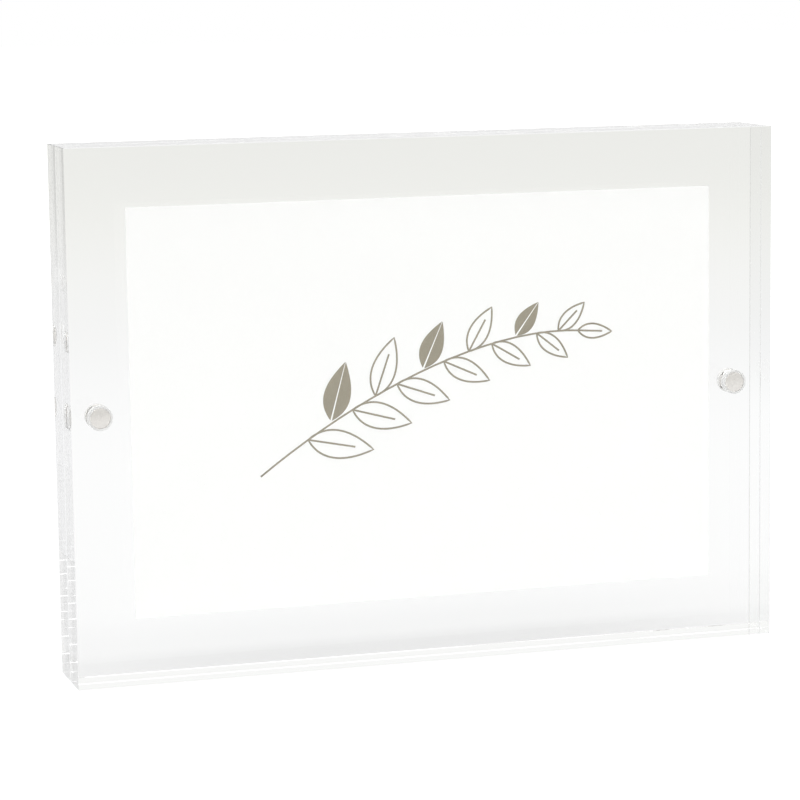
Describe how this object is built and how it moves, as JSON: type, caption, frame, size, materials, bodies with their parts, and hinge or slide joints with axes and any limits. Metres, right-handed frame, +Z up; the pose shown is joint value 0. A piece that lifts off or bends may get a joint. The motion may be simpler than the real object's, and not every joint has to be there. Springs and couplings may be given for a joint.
{
  "type": "acrylic block picture frame",
  "caption": "Free-standing landscape block frame: clear acrylic blocks, drawn together by magnets sunk in their inner faces, clamp a print between them.",
  "frame": {"origin": "middle of the footprint: on the ground plane, in the seam between the blocks, half way along the width", "axes": "+X along the width to the right as seen from the front, +Y towards the back, +Z up; the front faces -Y"},
  "size_m": [0.18, 0.0204, 0.13],
  "materials": {
    "clear_acrylic": "polished",
    "nickel_plate": "satin",
    "cured_glue": "gloss",
    "print_card": "matte"
  },
  "bodies": {
    "back_half": {"back_block": "clear_acrylic", "rear_magnet_left": "nickel_plate", "rear_magnet_right": "nickel_plate", "rear_magnet_glue": "cured_glue"},
    "front_half": {"front_block": "clear_acrylic", "front_magnet_left": "nickel_plate", "front_magnet_right": "nickel_plate", "front_magnet_glue": "cured_glue"},
    "print": {"print_insert": "print_card"}
  },
  "joints": [
    {"name": "front_pull", "type": "slide", "parent": "back_half", "child": "front_half", "axis": [0, -1, 0], "range_m": [0, 0.06]},
    {"name": "print_slide", "type": "slide", "parent": "back_half", "child": "print", "axis": [0, 0, 1], "range_m": [0, 0.12]}
  ]
}
